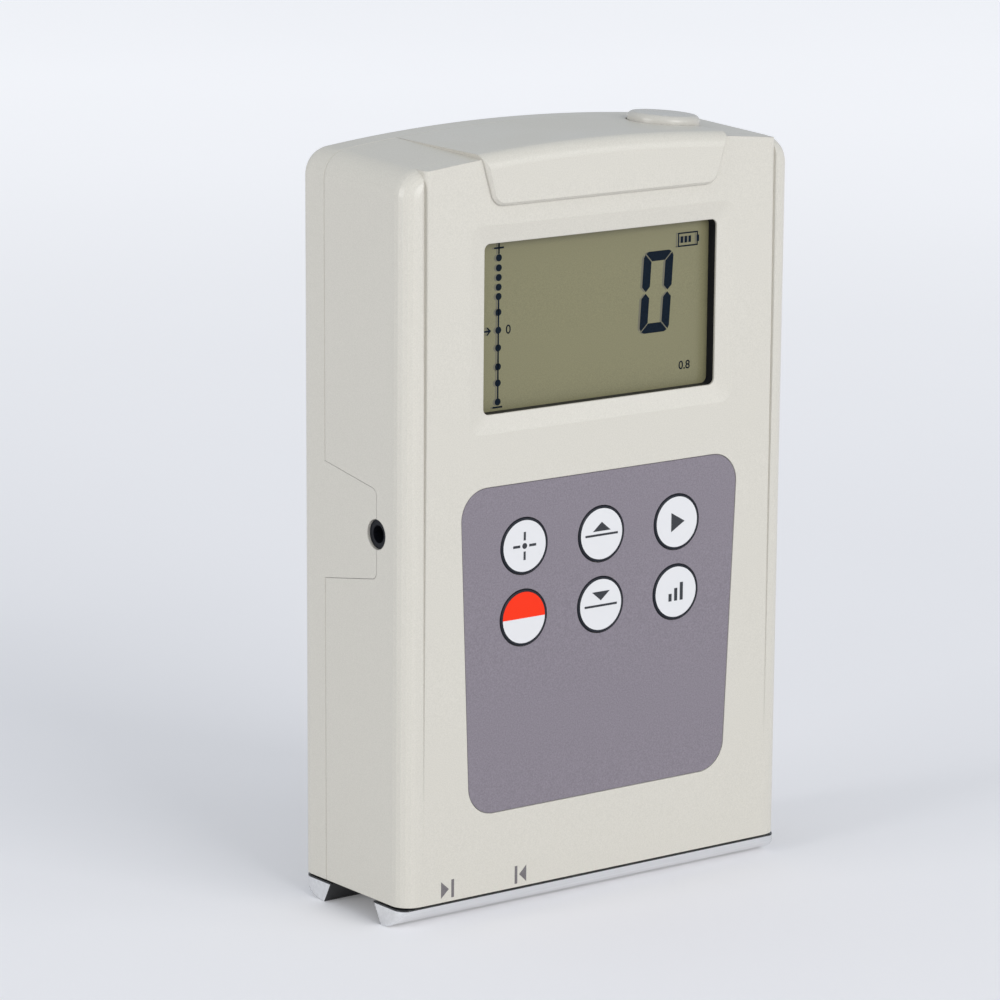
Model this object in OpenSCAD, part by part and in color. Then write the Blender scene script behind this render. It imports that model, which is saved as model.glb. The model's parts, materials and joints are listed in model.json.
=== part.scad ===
// Pocket surface roughness tester, standing upright on its two guide rails.
// Sizes are in millimetres. X runs right, Y runs back and Z runs up from the underside of the rails.

/* [Housing] */
// Width of the housing
body_w = 73; // [70:1:80]
// Depth of the housing at its foot, without the raised plate and brow
body_d = 26.8; // [26:0.2:32]
// Height of the housing from its foot to the crown
body_h = 113.7; // [112:0.5:125]
// Wall thickness of the two mouldings
wall = 2; // [1.6:0.1:2.2]
// Radius of the arched top
crown_r = 280; // [220:10:400]
// Radius of the top corners, seen from the front
corner_r = 4.2; // [3.6:0.1:5]
// Radius of the bead down each front edge
bead_r = 3; // [2.4:0.1:3.4]
// Fall of the front moulding's top towards the front, in degrees
top_fall = 2.8; // [1.5:0.1:3.4]
// Depth of the rear cover
cover_d = 6.6; // [6:0.2:8]
// Radius round the rear cover's back edge
cover_r = 2.5; // [1.5:0.1:3]

/* [Front plate and brow] */
// Distance of the plate's long edges from the sides
plate_inset = 3.6; // [3.2:0.05:6]
// How far the plate leans out at its top
plate_rise = 0.8; // [0.2:0.1:1]
// How far the plate stands out beyond the beads at its top
plate_step = 0.1; // [0.05:0.05:0.2]
// Width of the groove's shoulder on the plate
groove_w = 1.1; // [0.6:0.1:1.4]
// Depth of the groove beside the plate
groove_deep = 0.75; // [0.4:0.05:1]
// Height above the foot at which the groove runs out
groove_end = 14; // [8:1:40]
// Width of the brow where it meets the top
brow_w = 47.2; // [40:0.2:50]
// Width of the brow along its lower edge
brow_foot_w = 43; // [36:0.2:46]
// Height of the brow's lower edge below the crown
brow_drop = 9; // [7.5:0.1:9.6]
// How far the brow stands out from the plate
brow_rise = 0.75; // [0.4:0.05:1]
// Radius of the brow's front top edge
brow_r = 2.2; // [1:0.1:3]
// Radius of the brow's lower corners
brow_corner = 2.4; // [1:0.1:4]
// Fall of the brow's top towards the front, in degrees
brow_fall = 1; // [0.2:0.1:1.4]

/* [Display] */
// Width of the display opening
window_w = 44; // [38:0.2:46]
// Height of the display opening
window_h = 25.6; // [20:0.2:26]
// Distance of the opening's middle below the crown
window_drop = 27.4; // [26.8:0.1:29]
// Width of the dished border round the opening
dish_border = 2.8; // [1.5:0.1:3.2]
// Depth of the dished border at the opening
dish_depth = 0.6; // [0.2:0.05:0.8]
// Width of the ledge by which the display glass passes the opening
lcd_ledge = 2.6; // [2:0.1:3]
// Thickness of the display glass
lcd_t = 2; // [1.6:0.1:2]

/* [Keypad] */
// Width of the key panel at its top
pad_top_w = 52.8; // [48:0.2:56]
// Width of the key panel at its foot
pad_foot_w = 48.8; // [44:0.2:54]
// Distance between the key panel and the display's dished border
pad_gap = 8.1; // [6:0.1:10]
// Height of the panel's lower edge above the foot
pad_z = 12.5; // [10:0.1:14]
// Radius of the panel's corners
pad_r = 4.6; // [2:0.1:6]
// Thickness of the panel film
pad_t = 0.35; // [0.2:0.05:0.5]
// Diameter of a key
key_d = 8.7; // [8:0.1:9.1]
// Distance between the key columns
key_pitch_x = 14.6; // [13.5:0.1:16]
// Distance between the key rows
key_pitch_z = 11; // [10.8:0.05:12]
// Distance of the upper key row below the panel's upper edge
key_drop = 9.65; // [8:0.05:12]
// How far a key stands out from the panel
key_proud = 0.15; // [0.1:0.05:0.5]
// Travel of a key
key_travel = 0.4; // [0.2:0.05:0.5]

/* [Top button] */
// Diameter of the button
button_d = 11.2; // [9:0.1:12]
// Distance of the button's middle from the right side
button_inset = 15.3; // [14:0.1:18]
// Distance of the button's middle in front of the seam
button_y = 8; // [7.5:0.1:10]
// Height of the button above the top
button_h = 1.3; // [0.9:0.1:2]
// Travel of the button
button_travel = 0.8; // [0.3:0.1:1]

/* [Charging socket] */
// Diameter of the hole in the side wall
jack_d = 4.6; // [4.2:0.1:5.4]
// Diameter of the plug bore
jack_bore = 2.7; // [2:0.1:3]
// Depth of the plug bore
jack_deep = 9; // [7:0.5:10]
// Distance of the socket below the crown
jack_drop = 57.5; // [54:0.1:60]
// Distance of the socket behind the front
jack_y = 6.9; // [6.6:0.1:8]
// Height of the side tongue where it leaves the cover
tongue_root_h = 18; // [14:0.2:22]
// Height of the side tongue at its end
tongue_end_h = 13.8; // [10:0.2:13.8]

/* [Rails] */
// Height of the rails below the housing's foot
rail_h = 3.6; // [3.2:0.1:4.6]
// Shadow gap between the rails and the housing
shadow_gap = 0.35; // [0.2:0.05:0.5]
// Distance across the outsides of the rails
rail_span = 26; // [25:0.2:26.4]
// Width of the channel between the rails, at its top
channel_w = 11.2; // [10:0.2:12]
// Radius of the rails' outer faces
rail_r = 6; // [4.8:0.2:8]
// Width of the flat on which a rail stands
rail_flat = 0.9; // [0.6:0.1:1.2]
// Thickness of the web between the rails
web_t = 2.5; // [2.2:0.1:3]

/* [Traverse] */
// Length of the measured trace
trace_len = 11.9; // [10:0.1:12.5]
// Distance of the stylus from the left side at the start of the trace
trace_start = 9.05; // [8.8:0.05:10]
// Diameter of the lead screw
screw_d = 3; // [2:0.1:3.4]
// Diameter of the guide rods
rod_d = 2; // [1.6:0.1:2.4]
// Distance between the guide rods
rod_pitch = 12; // [11.4:0.1:12.6]
// Diameter of the pick-up tube
tube_d = 4.8; // [4.6:0.1:5]
// Length of the carriage
carriage_l = 8; // [7:0.1:8.4]
// Part of the drive's length that is gearbox, the rest being motor
gearbox_share = 0.44; // [0.35:0.01:0.5]
// Height of the drive's axis above the top of the web
drive_h = 10.2; // [10:0.1:11]

/* [Hidden] */
$fn = 64;

// Clearances that the mating pieces share
fit = 0.1;
slide_gap = 0.05;
run_gap = 0.04;
thin = 0.01;
reach = 2 * (body_w + body_h);

// Planes of the housing
side_x = body_w / 2;
proud = plate_rise + brow_rise;
front_y = -body_d / 2 + proud / 2;
back_y = body_d / 2 + proud / 2;
mid_y = proud / 2;
seam_y = back_y - cover_d;
foot_z = rail_h;
top_z = foot_z + body_h;

// The arched top: where its corners' axes lie
corner_x = side_x - corner_r;
crown_drop = sqrt(pow(crown_r - corner_r, 2) - pow(corner_x, 2));
corner_z = top_z - crown_r + crown_drop;
crown_angle = asin(corner_x / (crown_r - corner_r));
crown_depth = crown_r - crown_drop + corner_r;
arc_steps = 12;
edge_step = 15;
crown_fn = 720;
brow_len = (seam_y - front_y + proud) / cos(brow_fall);
plate_x = side_x - plate_inset;
plate_lean = atan(plate_rise / (corner_z - foot_z));
bead_rise = plate_rise - plate_step;
bead_lean = atan(bead_rise / (corner_z - foot_z));
seam_chamfer = 0.15;

// Layers behind the plate, as depths below its face
film_y = slide_gap;
window_lip = 0.35;
ring_t = 1.6;
pocket_y = dish_depth + window_lip;
lcd_y = pocket_y + ring_t;
key_flange_y = wall + plate_rise + 0.1;
key_flange_t = 0.8;
key_stem_l = 1.2;
dome_gap = key_travel + slide_gap;
dome_t = 0.35;
board_y = max(key_flange_y + key_flange_t + key_stem_l + dome_gap + dome_t, lcd_y + lcd_t + 0.8);
board_t = 1.6;
lcd_w = window_w + 2 * lcd_ledge;
lcd_h = window_h + 2 * lcd_ledge;

// Heights of the display, the key panel and the socket above the foot
window_z = body_h - window_drop;
window_r = 1;
dish_r = 1.8;
pad_h = window_z - window_h / 2 - dish_border - pad_gap - pad_z;
key_z = pad_z + pad_h - key_drop;
jack_z = body_h - jack_drop;

// Screw bosses of the two mouldings
boss_r = 2.7;
boss_x = side_x - wall - boss_r + 0.3;
boss_z = [24.5, body_h - 9.7];
pilot_r = 1.2;
pilot_deep = 10;
shank_r = pilot_r - slide_gap;
head_r = 2.1;
head_h = 1.4;
head_seat = 2.6;

// Main board and its posts
board_x = boss_x - boss_r - 0.5;
board_foot = 30;
board_top_gap = 7.4;
board_z = [board_foot, body_h - board_top_gap];
post_r = 2;
post_x = board_x - post_r - 1;
post_z = [board_z[0] + 3.5, board_z[1] - 2.3];
post_pilot_r = 0.9;
post_pilot_deep = 3;

// Top button: its place on the brow's surface, and the levels below that surface
button_x = side_x - button_inset;
button_z = top_z - crown_r + sqrt(pow(crown_r, 2) - pow(button_x, 2)) - button_y * tan(brow_fall);
button_lip = 1;
button_flange_t = 0.6;
button_skew = button_y * (tan(top_fall) - tan(brow_fall));
button_flange_z = wall + button_skew + (button_d / 2 + button_lip) * tan(top_fall - brow_fall) + 2 * fit;
button_stem_z = 7;
switch_w = 6;
switch_h = 3.4;
plunger_h = 0.8;

// Charging socket
jack_mid_y = front_y + jack_y;
jack_mid_z = foot_z + jack_z;
jack_body = 6.8;
jack_set = 0.4;
jack_x = -side_x + jack_set;

// Battery
battery_w = 52;
battery_h = 34;
battery_z = 33;
battery_back_y = back_y - wall - 0.3;
battery_t = 9.2;
battery_rib = 1.2;

// Rails and web
rail_top_z = foot_z - shadow_gap;
rail_sink = rail_r - sqrt(pow(rail_r, 2) - pow(rail_flat * 2 / 3, 2));
rail_tip_y = rail_span / 2 - sqrt(pow(rail_r, 2) - pow(rail_r - rail_sink - rail_top_z, 2));
web_z = foot_z + 0.3;
land_z = web_z + web_t;
land_x = side_x - wall - fit;
land_y = body_d / 2 - wall - fit;
base_screw_x = side_x - wall - 2.2;
base_boss_r = 2.4;
base_boss_h = 4.4;
base_head_deep = 1.3;

// Traverse
tip_x = -side_x + trace_start;
drive_z = land_z + drive_h;
strip_t = 1.2;
tube_r = tube_d / 2;
tube_z = land_z + strip_t + 0.3 + tube_r;
nose_r = 2;
slot_half = nose_r + 0.7;
pickup_reach = 20;
car_x = tip_x + pickup_reach;
plate_t = 1.5;
start_gap = 1.2;
end_gap = 0.6;
left_plate_x = car_x - start_gap - plate_t;
right_plate_x = car_x + carriage_l + trace_len + end_gap;
gearbox_x = right_plate_x + plate_t;
motor_gap = 2;
drive_room = side_x - wall - motor_gap - gearbox_x;
gearbox_l = gearbox_share * drive_room;
motor_l = drive_room - gearbox_l;
motor_x = gearbox_x + gearbox_l;
rod_wall = 1.5;
bracket_half = rod_pitch / 2 + rod_d / 2 + rod_wall;
bracket_rise = 4.6;
bracket_top = drive_z + bracket_rise;
cradle_x = motor_x + motor_l / 3;
cradle_t = 2;
gearbox_h = 10;
gearbox_w = 12;
bush_r = screw_d / 2 + 1.1;
nut_r = screw_d / 2 + 1.4;
block_half_h = 3.4;
pivot_reach = 13;
pivot_x = tip_x + pivot_reach;
pivot_r = 0.5;
arm_r = 0.5;
hub_r = 1.1;
hub_w = 2;
tube_bore_r = tube_r - 0.7;
shank_tip_r = 0.3;
tip_h = 0.7;
floor_gap = 0.05;
bracket_screw_x = [car_x + 4, right_plate_x - 5];
bracket_screw_y = rod_pitch / 2 + 0.2;
sensor_l = 2.5;
sensor_w = 3;
sensor_gap = 2;
small_head_r = 1.7;
small_head_h = 1.1;
bite = 2.8;
bracket_bite = 1.8;
cover_bite = 8;

key_x = [-key_pitch_x, 0, key_pitch_x];

cream = [0.85, 0.84, 0.80];
mauve = [0.55, 0.52, 0.56];
black = [0.12, 0.12, 0.14];
white = [0.92, 0.93, 0.94];
red = [0.95, 0.2, 0.12];
blue = [0.25, 0.45, 0.7];
olive = [0.56, 0.55, 0.44];
green = [0.12, 0.36, 0.24];
steel = [0.72, 0.73, 0.75];
brass = [0.78, 0.65, 0.35];
bright = [0.84, 0.85, 0.87];

// Places a shape on the leaning front plate: Y is depth behind its face and Z is height above the foot
module on_plate() {
    translate([0, front_y, foot_z]) rotate([plate_lean, 0, 0]) children();
}

// Stands a flat outline up, so that it is drawn in X and Z and extruded back along Y
module upright(y, t) {
    translate([0, y + t, 0]) rotate([90, 0, 0]) linear_extrude(t) children();
}

// The frame of the falling top: its origin is on the seam, level with the corners' axes
module on_top(fall) {
    translate([0, seam_y, corner_z]) rotate([fall, 0, 0]) children();
}

// A quarter disc below the X axis, with a sliver more on its straight sides to join it to its neighbours
module quarter(r) {
    intersection() {
        circle(r);
        translate([-thin, -r]) square(r + thin);
    }
}

// Section from radius r0 to r1 and from h0 to h1, with its outer corner at h0 rounded by e
module rounded_section(r0, r1, h0, h1, e) {
    translate([r0, h0 + e]) square([r1 - r0, h1 - h0 - e]);
    translate([r0, h0]) square([r1 - r0 - e, e + thin]);
    translate([r1 - e, h0 + e]) quarter(e);
}

// The arched part of the top between the corners, with its front edge rounded
module crown_sector(r, h0, h1, e) {
    translate([0, 0, -crown_drop])
        rotate([-90, 0, 0])
            rotate([0, 0, 270 - crown_angle])
                rotate_extrude(angle = 2 * crown_angle, $fn = crown_fn)
                    rounded_section(r - crown_depth, r, h0, h1, e);
}

// A rounded rectangle with true arcs
module round_rect(w, h, r) {
    square([w - 2 * r, h], center = true);
    square([w, h - 2 * r], center = true);
    for (sx = [-1, 1], sy = [-1, 1])
        translate([sx * (w / 2 - r), sy * (h / 2 - r)]) circle(r);
}

// Fall of the top at depth y, and the points of the front view: right foot, corner, arch, corner, left foot
function fall_at(y) = max(seam_y - y, 0) * tan(top_fall);
function corner_points(i, fall) = [
    for (k = [0 : arc_steps - 1])
        let (a = (90 - crown_angle) * k / arc_steps)
            [corner_x + (corner_r - i) * cos(a), corner_z - fall + (corner_r - i) * sin(a)]
];
function arch_points(i, fall) = [
    for (k = [0 : 2 * arc_steps])
        let (a = crown_angle * (1 - k / arc_steps))
            [(crown_r - i) * sin(a), corner_z - fall - crown_drop + (crown_r - i) * cos(a)]
];
function outline_points(i, low, fall) = concat(
    [[side_x - i, low]],
    corner_points(i, fall),
    arch_points(i, fall),
    [for (k = [arc_steps - 1 : -1 : 0]) let (p = corner_points(i, fall)[k]) [-p[0], p[1]]],
    [[i - side_x, low]]
);

// A slice of the housing from depth y, t thick and set in by i
module slice(y, t, i) {
    upright(y, t) polygon(outline_points(i, foot_z, fall_at(y)));
}

// A slice of the bead at depth y behind the leaning front, set in by i
module bead_slice(y, i) {
    fall = fall_at(front_y + y - bead_rise) + foot_z;
    translate([0, front_y, foot_z])
        rotate([bead_lean, 0, 0])
            upright(y, thin) polygon(outline_points(i, -y * tan(bead_lean), fall));
}

// Outside of the front moulding, with a bead round its front edge and a fine chamfer along the seam
module case_form() {
    hull() {
        slice(seam_y - thin, thin, seam_chamfer);
        slice(seam_y - seam_chamfer, thin, 0);
        for (a = [0 : edge_step : 90]) bead_slice(bead_r * (1 - sin(a)), bead_r * (1 - cos(a)));
    }
}

// Hollow of the front moulding, open at its back and foot
module case_hollow() {
    intersection() {
        on_top(top_fall)
            translate([0, 0, -corner_z]) upright(-reach / 4, reach / 2) polygon(outline_points(wall, 0, 0));
        translate([-reach, front_y + wall, 0]) cube([2 * reach, seam_y + 1 - front_y - wall, reach]);
    }
}

// Outside of the rear cover, with its back edge rounded
module cover_form() {
    hull() {
        slice(seam_y, thin, seam_chamfer);
        slice(seam_y + seam_chamfer, cover_d - cover_r - seam_chamfer, 0);
        for (a = [edge_step : edge_step : 90])
            slice(back_y - cover_r * (1 - sin(a)) - thin, thin, cover_r * (1 - cos(a)));
    }
}

// Hollow of the rear cover, set in by i, open at its front and foot
module cover_hollow(i) {
    upright(seam_y - 1, cover_d - i + 1) polygon(outline_points(i, foot_z - 1, 0));
}

// Raised plate on the front, flush with the falling top
module front_plate() {
    intersection() {
        on_plate() translate([-plate_x, 0, 0]) cube([2 * plate_x, wall + plate_rise, body_h]);
        on_top(top_fall)
            translate([0, 0, -crown_drop])
                rotate([90, 0, 0]) cylinder(r = crown_r, h = reach / 2, $fn = crown_fn);
        translate([-reach, -reach, foot_z]) cube(2 * reach);
    }
}

// Front view of the brow, set in by i
module brow_outline(i) {
    low = top_z - brow_drop + i;
    hull() {
        for (s = [-1, 1]) {
            translate([s * (brow_foot_w / 2 - brow_corner), low + brow_corner - i])
                circle(brow_corner - i, $fn = 32);
            translate([s * (brow_w / 2 - i), low + brow_drop]) square(thin, center = true);
        }
    }
}

// Brow that wraps from the top over the plate
module brow() {
    chamfer = brow_rise * 0.6;
    intersection() {
        on_top(brow_fall) crown_sector(crown_r + 2 * thin, -brow_len, 0, brow_r);
        hull() {
            upright(front_y - proud - chamfer, thin) brow_outline(2 * chamfer);
            upright(front_y - proud + chamfer, seam_y - front_y + proud - chamfer) brow_outline(0);
        }
        translate([-reach, -reach, 0]) cube([2 * reach, reach + seam_y, 2 * reach]);
    }
}

// Section of the groove beside the plate: a fine line between two rounded shoulders
module groove_section() {
    polygon([
        [-groove_w, -groove_deep], [-groove_w, 0],
        [-groove_w * 0.5, groove_deep * 0.1], [-groove_w * 0.2, groove_deep * 0.35],
        [-thin, groove_deep], [groove_w * 0.1, groove_deep],
        [groove_w * 0.3, groove_deep * 0.35 + plate_step], [groove_w * 0.7, groove_deep * 0.1 + plate_step],
        [groove_w * 1.4, plate_step], [groove_w * 1.4, -groove_deep]
    ]);
}

// Groove down each side of the plate, which runs out towards the foot
module side_groove() {
    lean = atan(groove_deep / (body_h - groove_end));
    for (s = [0, 1])
        mirror([s, 0, 0])
            on_plate()
                translate([plate_x, 0, body_h])
                    rotate([-lean, 0, 0])
                        translate([0, 0, -body_h]) linear_extrude(body_h + wall) groove_section();
}

// Side view of the cover's tongue, grown by g
module tongue_outline(g) {
    r = 1.2;
    hull() {
        for (s = [-1, 1]) {
            translate([jack_mid_y + r - g, jack_mid_z + s * (tongue_end_h / 2 - r + g)]) circle(r);
            translate([seam_y + 2 * seam_chamfer, jack_mid_z + s * (tongue_root_h / 2 + g)])
                square(thin, center = true);
        }
    }
}

// Turns an outline drawn in Y and Z into a plate t thick at x
module side_plate(x, t) {
    translate([x, 0, 0]) rotate([90, 0, 90]) linear_extrude(t) children();
}

// Hole through the side wall for the socket
module jack_hole(r) {
    translate([-side_x - 1, jack_mid_y, jack_mid_z]) rotate([0, 90, 0]) cylinder(r = r, h = wall + 2);
}

// Places a shape at each of the four cover screws, with Z pointing forward from the seam
module at_cover_screws() {
    for (s = [-1, 1], z = boss_z)
        translate([s * boss_x, seam_y, foot_z + z]) rotate([90, 0, 0]) children();
}

// Places a shape at each board post, with Z pointing back from the plate's face
module at_posts() {
    on_plate()
        for (s = [-1, 1], z = post_z)
            translate([s * post_x, 0, z]) rotate([-90, 0, 0]) children();
}

// Places a shape at each key, with Z pointing back from the plate's face
module at_key(row, column) {
    on_plate()
        translate([key_x[column], 0, key_z - row * key_pitch_z]) rotate([-90, 0, 0]) children();
}

// Frame of the top button: Z is square to the arched top
module at_button() {
    translate([button_x, seam_y - button_y, button_z])
        rotate([brow_fall, asin(button_x / crown_r), 0]) children();
}

// Key panel's outline, set in by i
module pad_outline(i) {
    r = pad_r - i;
    lean = (pad_top_w - pad_foot_w) / 2 / pad_h;
    low = pad_z + pad_r;
    high = pad_z + pad_h - pad_r;
    hull() {
        for (s = [-1, 1]) {
            translate([s * (pad_foot_w / 2 + lean * pad_r - pad_r), low]) circle(r);
            translate([s * (pad_top_w / 2 - lean * pad_r - pad_r), high]) circle(r);
        }
    }
}

module front_case() {
    color(cream)
    difference() {
        union() {
            difference() {
                union() {
                    case_form();
                    front_plate();
                    brow();
                }
                case_hollow();
            }
            at_cover_screws() translate([0, 0, fit]) cylinder(r = boss_r, h = seam_y - front_y - wall / 2);
            at_posts() translate([0, 0, wall / 2]) cylinder(r = post_r, h = board_y - wall / 2);
            for (s = [-1, 1])
                translate([s * base_screw_x, mid_y, land_z + slide_gap])
                    cylinder(r = base_boss_r, h = base_boss_h);
        }
        side_groove();
        // Display opening with its dished border, and the pocket behind it
        on_plate() translate([0, 0, window_z]) {
            hull() {
                upright(-thin, thin)
                    round_rect(window_w + 2 * dish_border, window_h + 2 * dish_border, dish_r, $fn = 32);
                upright(dish_depth - thin, thin) round_rect(window_w, window_h, window_r, $fn = 32);
            }
            upright(0, pocket_y + wall) round_rect(window_w, window_h, window_r);
            upright(pocket_y, wall + plate_rise) round_rect(lcd_w + 2 * fit, lcd_h + 2 * fit, 0.5);
        }
        // Recess of the key panel and the key holes
        on_plate() upright(-1, 1 + film_y + pad_t) pad_outline(-fit);
        for (row = [0, 1], column = [0, 1, 2])
            at_key(row, column) cylinder(r = key_d / 2 + fit, h = wall + plate_rise + 1);
        at_button() translate([0, 0, -3 * wall]) cylinder(r = button_d / 2 + 2 * fit, h = 6 * wall);
        side_plate(-side_x - 1, wall + 2) tongue_outline(slide_gap);
        jack_hole(jack_d / 2);
        at_cover_screws() cylinder(r = pilot_r, h = pilot_deep);
        at_posts() translate([0, 0, board_y - post_pilot_deep])
            cylinder(r = post_pilot_r, h = 2 * post_pilot_deep);
        for (s = [-1, 1])
            translate([s * base_screw_x, mid_y, land_z - 1]) cylinder(r = post_pilot_r, h = base_boss_h);
    }
}

module rear_cover() {
    color(cream)
    difference() {
        union() {
            difference() {
                cover_form();
                cover_hollow(wall);
            }
            intersection() {
                at_cover_screws() translate([0, 0, -cover_d]) cylinder(r = boss_r, h = cover_d);
                cover_hollow(wall / 2);
            }
            side_plate(-side_x, wall) tongue_outline(0);
            battery_fence();
        }
        jack_hole(jack_d / 2);
        at_cover_screws() {
            translate([0, 0, -cover_d - 1]) cylinder(r = pilot_r + fit, h = cover_d + 2);
            translate([0, 0, -cover_d - 1]) cylinder(r = head_r + 2 * fit, h = 1 + head_seat);
        }
    }
}

// Low fence inside the rear cover that holds the battery
module battery_fence() {
    grow = 2 * (battery_rib + fit);
    translate([0, 0, foot_z + battery_z + battery_h / 2])
        difference() {
            upright(seam_y + fit, cover_d - wall) square([battery_w + grow, battery_h + grow], center = true);
            upright(seam_y - 1, cover_d - wall + 1 + fit)
                square([battery_w + 2 * fit, battery_h + 2 * fit], center = true);
        }
}

// Section of the base: two rails with round outer faces, and the land that fits into the housing
module base_section() {
    for (s = [0, 1]) mirror([s, 0])
        intersection() {
            translate([rail_tip_y, rail_r - rail_sink]) circle(rail_r);
            polygon([
                [channel_w / 2, rail_top_z], [rail_tip_y - rail_flat / 3, 0],
                [rail_span, 0], [rail_span, rail_top_z]
            ]);
        }
    difference() {
        translate([-land_y, rail_top_z - thin]) square([2 * land_y, land_z - rail_top_z + thin]);
        translate([-channel_w / 2, 0]) square([channel_w, web_z]);
    }
}

module guide_base() {
    color(bright)
    difference() {
        translate([-side_x, mid_y, 0]) rotate([90, 0, 90]) linear_extrude(body_w) base_section();
        difference() {
            translate([-reach, -reach, rail_top_z]) cube([2 * reach, 2 * reach, reach]);
            translate([-land_x, -reach, 0]) cube([2 * land_x, 2 * reach, reach]);
        }
        difference() {
            translate([-body_w, -body_w, -1]) cube([2 * body_w, 2 * body_w, rail_top_z + 1]);
            translate([0, mid_y, -2]) linear_extrude(rail_h + 4) round_rect(body_w, rail_span, 2);
        }
        translate([tip_x - slot_half, mid_y - slot_half, -1])
            cube([trace_len + 2 * slot_half, 2 * slot_half, land_z + 2]);
        for (s = [-1, 1]) translate([s * base_screw_x, mid_y, 0]) {
            cylinder(r = pilot_r, h = land_z + 1);
            cylinder(r = head_r + fit, h = web_z + base_head_deep);
        }
        for (x = bracket_screw_x, s = [-1, 1])
            translate([x, mid_y + s * bracket_screw_y, land_z - 2]) cylinder(r = post_pilot_r, h = 3);
    }
}

module keypad_overlay() {
    color(mauve)
    difference() {
        on_plate() upright(film_y, pad_t) pad_outline(0);
        for (row = [0, 1], column = [0, 1, 2])
            at_key(row, column) translate([0, 0, -1]) cylinder(r = key_d / 2 + fit, h = 3);
    }
}

// One key: a low dome that stands out of the panel, a retaining flange and a stem over its snap dome
module key(row, column) {
    top = film_y - key_proud;
    at_key(row, column) {
        rotate_extrude() rounded_section(0, key_d / 2, top, key_flange_y + thin, 0.25);
        translate([0, 0, key_flange_y]) cylinder(r = key_d / 2 + 0.6, h = key_flange_t);
        translate([0, 0, key_flange_y + key_flange_t]) cylinder(r = 1.5, h = key_stem_l);
    }
}

module key_cal() {
    color(white) key(0, 0);
}

module key_up() {
    color(white) key(0, 1);
}

module key_start() {
    color(white) key(0, 2);
}

module key_power() {
    color(red) key(1, 0);
}

module key_down() {
    color(white) key(1, 1);
}

module key_cutoff() {
    color(white) key(1, 2);
}

module key_domes() {
    color(steel)
    for (row = [0, 1], column = [0, 1, 2])
        at_key(row, column)
            translate([0, 0, board_y]) mirror([0, 0, 1]) cylinder(r1 = 3.6, r2 = 2, h = dome_t);
}

module top_button() {
    rim = 0.9;
    color(cream)
    at_button() {
        rotate_extrude()
            mirror([0, 1]) rounded_section(0, button_d / 2, -button_h, button_flange_z + thin, rim);
        translate([0, 0, -button_flange_z - button_flange_t])
            cylinder(r = button_d / 2 + button_lip, h = button_flange_t);
        translate([0, 0, -button_stem_z]) cylinder(r = 1.5, h = button_stem_z - button_flange_z);
    }
}

// Switch under the button, on a foot that stands on the back of the main board
module top_switch() {
    top = button_stem_z + button_travel + slide_gap;
    low = button_z - foot_z - top - plunger_h - switch_h;
    color(black) {
        at_button() translate([0, 0, -top - plunger_h]) {
            translate([-switch_w / 2, -switch_w / 2, -switch_h]) cube([switch_w, switch_w, switch_h]);
            translate([0, 0, -thin]) cylinder(r = 1.7, h = plunger_h);
        }
        on_plate() translate([button_x - switch_w / 2, board_y + board_t, low + 0.5])
            cube([switch_w - 1.2, seam_y - button_y - front_y - board_y - board_t, switch_h - 1]);
    }
}

module lcd_frame() {
    color(black)
    on_plate() translate([0, 0, window_z])
        difference() {
            upright(pocket_y + slide_gap, ring_t - slide_gap) round_rect(lcd_w, lcd_h, 0.5);
            upright(0, 2 * lcd_y) round_rect(window_w, window_h, window_r);
        }
}

module lcd_panel() {
    color(olive)
    on_plate() translate([0, 0, window_z]) upright(lcd_y, lcd_t) square([lcd_w, lcd_h], center = true);
}

module contact_strips() {
    strip_h = 2;
    color(black)
    on_plate() for (s = [-1, 1])
        translate([0, 0, window_z + s * (lcd_h / 2 - strip_h / 2 - 0.2)])
            upright(lcd_y + lcd_t, board_y - lcd_y - lcd_t) square([lcd_w - 4, strip_h], center = true);
}

module main_board() {
    notch_x = jack_x + wall + jack_deep + 1.2;
    color(green)
    difference() {
        on_plate() translate([0, 0, (board_z[0] + board_z[1]) / 2])
            upright(board_y, board_t) square([2 * board_x, board_z[1] - board_z[0]], center = true);
        translate([-side_x, -reach, jack_mid_z - jack_body / 2 - 0.4])
            cube([notch_x + side_x, 2 * reach, jack_body + 0.8]);
        at_posts() cylinder(r = post_pilot_r + slide_gap, h = reach);
    }
}

module charging_socket() {
    color(black)
    difference() {
        union() {
            translate([jack_x, jack_mid_y, jack_mid_z])
                rotate([0, 90, 0]) cylinder(r = jack_d / 2 - fit, h = wall + 1);
            translate([-side_x + wall + fit, jack_mid_y - jack_body / 2, jack_mid_z - jack_body / 2])
                cube([jack_deep + 0.8 + jack_set - fit, jack_body, jack_body]);
        }
        translate([jack_x - 1, jack_mid_y, jack_mid_z])
            rotate([0, 90, 0]) cylinder(d = jack_bore, h = jack_deep + 1);
    }
}

module battery_pack() {
    color(blue)
    translate([0, 0, foot_z + battery_z + battery_h / 2])
        upright(battery_back_y - battery_t, battery_t) round_rect(battery_w, battery_h, 2);
}

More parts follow.
